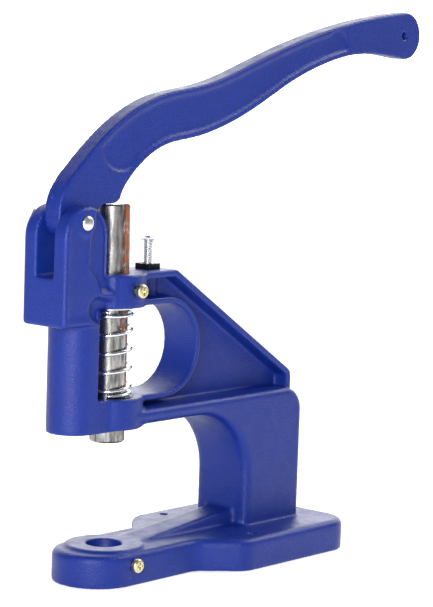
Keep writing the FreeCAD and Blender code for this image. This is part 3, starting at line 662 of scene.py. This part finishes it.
@dataclass
class StopScrew:
    """The threaded stop screw with its thin domed head and nub."""

    x: float = 30.0
    seat: float = 191.6
    length: float = 19.0
    crest: float = 2.98
    root: float = 2.45
    pitch: float = 1.0
    head: tuple[tuple[float, float], ...] = (
        (0, 0), (5.2, 0), (5.65, 0.15), (5.75, 0.45), (5.3, 0.8), (3.2, 1.05), (2.5, 1.3),
        (2.3, 1.8), (1.7, 2.2), (0, 2.3))

    def build(self) -> None:
        """Make the thread and the head."""
        head = moved(spun(self.head, "stop_head"), (self.x, 0, self.seat))
        thread = threaded(self.crest, self.root, self.pitch, -self.length, 0.2, "stop_thread")
        thread = moved(thread, (self.x, 0, self.seat))
        finished("stop_screw_head", head, BRIGHT, Body.STOP, ("stop_screw",))
        finished("stop_screw_thread", thread, BRIGHT, Body.STOP, ("stop_screw",), False)


@dataclass
class PivotBolt:
    """The hinge's bolt: a low domed head, its shank and a bare thread at the far end."""

    x: float = -37.0
    z: float = 204.8
    near: float = -16.5
    far: float = 24.4
    thread_start: float = 19.0
    crest: float = 2.98
    root: float = 2.5
    pitch: float = 1.0
    head: tuple[tuple[float, float], ...] = (
        (0, 1.6), (1.5, 1.55), (2.6, 1.38), (3.5, 1.0), (4.0, 0.5), (4.2, 0.12), (4.2, 0.0), (2.98, 0.0),
        (2.98, -36.0), (0, -36.0))

    def build(self) -> None:
        """Turn the head outwards and set both parts through the ears."""
        bolt = moved(spun(self.head, "bolt_head"), (self.x, self.near, self.z), math.pi / 2)
        finished("pivot_bolt_body", bolt, BRIGHT, Body.FRAME, ("pivot_bolt",))
        thread = threaded(self.crest, self.root, self.pitch, 0.0, self.far - self.thread_start,
                          "bolt_thread")
        thread = moved(thread, (self.x, self.far, self.z), math.pi / 2)
        finished("pivot_bolt_thread", thread, BRIGHT, Body.FRAME, ("pivot_bolt",), False)


# ---------------------------------------------------------------- studio


@dataclass
class Studio:
    """Pale floor, soft light and the camera."""

    lens: float = 138.77
    sensor: float = 36.0
    azimuth: float = -49.451
    elevation: float = 6.902
    roll: float = 1.944
    stand: tuple[float, float, float] = (-949.813, -890.759, 316.352)
    floor_radius: float = 2.4
    floor_drop: float = 0.0003
    floor_glow: float = 0.45
    aim: tuple[float, float, float] = (0.08, 0, 0.14)
    sky: float = 0.28
    screen: float = 3.2
    screen_way: tuple[float, float, float] = (0.753, 0.645, 0.13)
    screen_fade: tuple[float, float] = (0.6, 0.9)

    def camera(self) -> None:
        """Set the camera at its stand."""
        a, e, r = (math.radians(v) for v in (self.azimuth, self.elevation, self.roll))
        back = Vector((math.sin(a) * math.cos(e), -math.cos(a) * math.cos(e), math.sin(e)))
        right = Vector((0, 0, 1)).cross(back).normalized()
        up = back.cross(right)
        turned_right = right * math.cos(r) + up * math.sin(r)
        turned_up = up * math.cos(r) - right * math.sin(r)
        data = bpy.data.cameras.new("camera")
        data.sensor_width = self.sensor
        data.lens = self.lens
        data.clip_end = 20.0
        camera = bpy.data.objects.new("camera", data)
        turn = Matrix((turned_right, turned_up, back)).transposed().to_4x4()
        camera.matrix_world = Matrix.Translation(Vector(self.stand) * MM) @ turn
        bpy.context.scene.collection.objects.link(camera)
        bpy.context.scene.camera = camera

    def floor(self) -> None:
        """Lay the pale floor."""
        bm = bmesh.new()
        bmesh.ops.create_circle(bm, cap_ends=True, radius=self.floor_radius, segments=96)
        bmesh.ops.translate(bm, verts=bm.verts, vec=(0, 0, -self.floor_drop))
        mesh = bpy.data.meshes.new("floor")
        bm.to_mesh(mesh)
        bm.free()
        graph = Graph("pale_floor")
        graph.set(Base_Color=(0.95, 0.95, 0.95, 1), Roughness=0.9,
                  Emission_Color=(1, 1, 1, 1), Emission_Strength=self.floor_glow)
        mesh.materials.append(graph.material)
        floor = bpy.data.objects.new("floor", mesh)
        bpy.context.scene.collection.objects.link(floor)

    def lamp(self, name: str, at: tuple[float, float, float], size: float, power: float) -> None:
        """Hang a soft square lamp that faces the press."""
        data = bpy.data.lights.new(name, "AREA")
        data.size = size
        data.energy = power
        lamp = bpy.data.objects.new(name, data)
        lamp.location = at
        aim = Vector(at) - Vector(self.aim)
        lamp.rotation_euler = aim.to_track_quat("Z", "Y").to_euler()
        bpy.context.scene.collection.objects.link(lamp)

    def build(self) -> None:
        """Set the whole studio."""
        world = bpy.data.worlds.new("studio")
        world.use_nodes = True
        nodes, links = world.node_tree.nodes, world.node_tree.links
        background = nodes["Background"]
        background.inputs["Color"].default_value = (1, 1, 1, 1)
        facing = nodes.new("ShaderNodeVectorMath")
        facing.operation = "DOT_PRODUCT"
        facing.inputs[1].default_value = self.screen_way
        links.new(nodes.new("ShaderNodeTexCoord").outputs["Generated"], facing.inputs[0])
        fade = nodes.new("ShaderNodeMapRange")
        for name, number in zip(("From Min", "From Max", "To Min", "To Max"),
                                (*self.screen_fade, self.sky, self.screen)):
            fade.inputs[name].default_value = number
        links.new(facing.outputs["Value"], fade.inputs["Value"])
        links.new(fade.outputs["Result"], background.inputs["Strength"])
        bpy.context.scene.world = world
        bpy.context.scene.view_settings.view_transform = "Standard"
        self.camera()
        self.floor()
        self.lamp("key", (-0.95, -0.62, 0.40), 0.40, 16.0)
        self.lamp("rim", (0.9, -0.35, 0.9), 0.45, 8.0)
        self.lamp("front", (-1.1, 0.45, 0.5), 0.3, 0.8)


def dress(node: str, finish: Finish) -> None:
    """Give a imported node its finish."""
    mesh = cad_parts[node].data
    mesh.materials.clear()
    mesh.materials.append(finish.material())
    LOG.info("%s: %s", node, finish.name)


def main() -> None:
    """Build the studio and every piece."""
    logging.basicConfig(level=logging.INFO)
    Studio().build()
    CastBody().build()
    HandLever().build()
    ReturnSpring().build()
    StopScrew().build()
    PivotBolt().build()
    # painted shade: the black spring washer stands for the shaded gap under the spring's last coil
    for node, finish in (("pivot_washer", BRIGHT), ("pivot_nut", BRIGHT),
                         ("ram", STEEL), ("ram_clip", WIRE), ("spring_washer", BLACK_OXIDE_AND_SHADE),
                         ("guide_screw", YELLOW), ("die_clamp_screw", YELLOW), ("stop_lock_nut", BLACK_OXIDE_AND_SHADE)):
        dress(node, finish)


if __name__ == "__main__":
    main()
